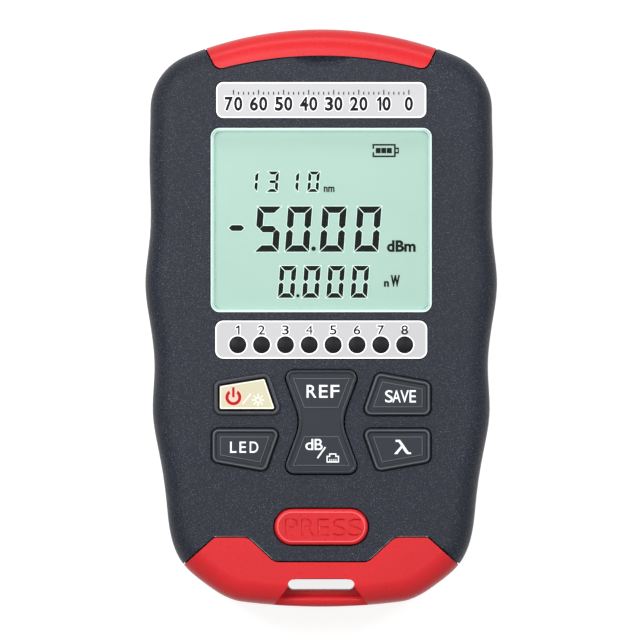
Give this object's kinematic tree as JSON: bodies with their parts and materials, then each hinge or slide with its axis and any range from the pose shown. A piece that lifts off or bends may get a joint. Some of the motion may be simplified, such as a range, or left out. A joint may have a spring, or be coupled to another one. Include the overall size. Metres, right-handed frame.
{
  "type": "optical power meter",
  "caption": "Hand-held optical power meter with a flip dust cover over its ports, a backlit display, rubber keys and a push-release network test remote.",
  "frame": {"origin": "under the middle of the body, on the flat back", "axes": "+Z out of the display, +Y towards the port end, +X to the user's right"},
  "size_m": [0.0732, 0.12, 0.029],
  "materials": {
    "housing_plastic": "fine-grained dark blue-grey moulding",
    "red_plastic": "smooth satin red moulding",
    "plate": "printed silver-white film",
    "window_clear": "clear window",
    "display": "pale green display glass",
    "light_guide": "milky light guide",
    "white_plastic": "white moulding",
    "key_rubber": "smooth dark grey rubber",
    "cream_key": "cream key cap",
    "silicone": "translucent grey silicone",
    "black_plastic": "black moulding",
    "board": "green solder mask",
    "nickel": "nickel plate",
    "steel": "zinc-plated steel",
    "led_clear": "clear lamp",
    "lamp_lens": "dark lamp lens",
    "battery_jacket": "printed cell sleeve, unmarked"
  },
  "bodies": {
    "housing": {"front_shell": "housing_plastic", "rear_shell": "housing_plastic", "dust_cover_pin": "steel", "name_plate": "plate", "display_window": "window_clear", "lcd_panel": "display", "lcd_backlight": "light_guide", "lcd_frame": "white_plastic", "indicator_plate": "plate", "power_ring": "key_rubber", "keypad_mat": "silicone", "release_springs": "steel", "network_jack": "black_plastic", "port_panel": "black_plastic", "optical_adapter": "nickel", "detector": "steel", "torch_led": "led_clear", "main_board": "board", "board_screws": "steel", "processor": "black_plastic", "buzzer": "black_plastic", "contact_plates": "nickel", "battery_springs": "steel", "case_screws": "steel", "indicator_led_1": "lamp_lens", "indicator_led_2": "lamp_lens", "indicator_led_3": "lamp_lens", "indicator_led_4": "lamp_lens", "indicator_led_5": "lamp_lens", "indicator_led_6": "lamp_lens", "indicator_led_7": "lamp_lens", "indicator_led_8": "lamp_lens", "battery_1": "battery_jacket", "battery_2": "battery_jacket", "battery_3": "battery_jacket"},
    "cover": {"dust_cover": "red_plastic"},
    "power": {"power_key": "cream_key"},
    "torch": {"torch_key": "key_rubber"},
    "save": {"save_key": "key_rubber"},
    "wavelength": {"wavelength_key": "key_rubber"},
    "reference": {"reference_key": "key_rubber"},
    "release": {"release_button": "red_plastic"},
    "remote": {"remote_front_shell": "red_plastic", "remote_rear_shell": "red_plastic", "remote_jack": "black_plastic", "remote_board": "board"},
    "door": {"battery_door": "housing_plastic"}
  },
  "joints": [
    {"name": "cover_hinge", "type": "hinge", "parent": "housing", "child": "cover", "pos_m": [0, 0.0558, 0.002], "axis": [-1, 0, 0], "range_deg": [0, 105]},
    {"name": "power_press", "type": "slide", "parent": "housing", "child": "power", "axis": [0, 0, -1], "range_m": [0, 0.0008], "stiffness_N_per_m": 1200, "springref_m": -0.0003, "deforming": ["keypad_mat"]},
    {"name": "torch_press", "type": "slide", "parent": "housing", "child": "torch", "axis": [0, 0, -1], "range_m": [0, 0.0008], "stiffness_N_per_m": 1200, "springref_m": -0.0003, "deforming": ["keypad_mat"]},
    {"name": "save_press", "type": "slide", "parent": "housing", "child": "save", "axis": [0, 0, -1], "range_m": [0, 0.0008], "stiffness_N_per_m": 1200, "springref_m": -0.0003, "deforming": ["keypad_mat"]},
    {"name": "wavelength_press", "type": "slide", "parent": "housing", "child": "wavelength", "axis": [0, 0, -1], "range_m": [0, 0.0008], "stiffness_N_per_m": 1200, "springref_m": -0.0003, "deforming": ["keypad_mat"]},
    {"name": "reference_rock", "type": "hinge", "parent": "housing", "child": "reference", "pos_m": [0, -0.02157, 0.0248], "axis": [1, 0, 0], "range_deg": [-3, 3], "stiffness_Nm_per_rad": 0.08, "deforming": ["keypad_mat"]},
    {"name": "release_press", "type": "slide", "parent": "housing", "child": "release", "axis": [0, 0, -1], "range_m": [0, 0.0015], "stiffness_N_per_m": 900, "springref_m": -0.0005, "deforming": ["release_springs"]},
    {"name": "remote_slide", "type": "slide", "parent": "housing", "child": "remote", "axis": [0, -1, 0], "range_m": [0, 0.02]},
    {"name": "battery_door_hinge", "type": "hinge", "parent": "housing", "child": "door", "pos_m": [0, -0.02685, 0], "axis": [-1, 0, 0], "range_deg": [0, 80]}
  ]
}
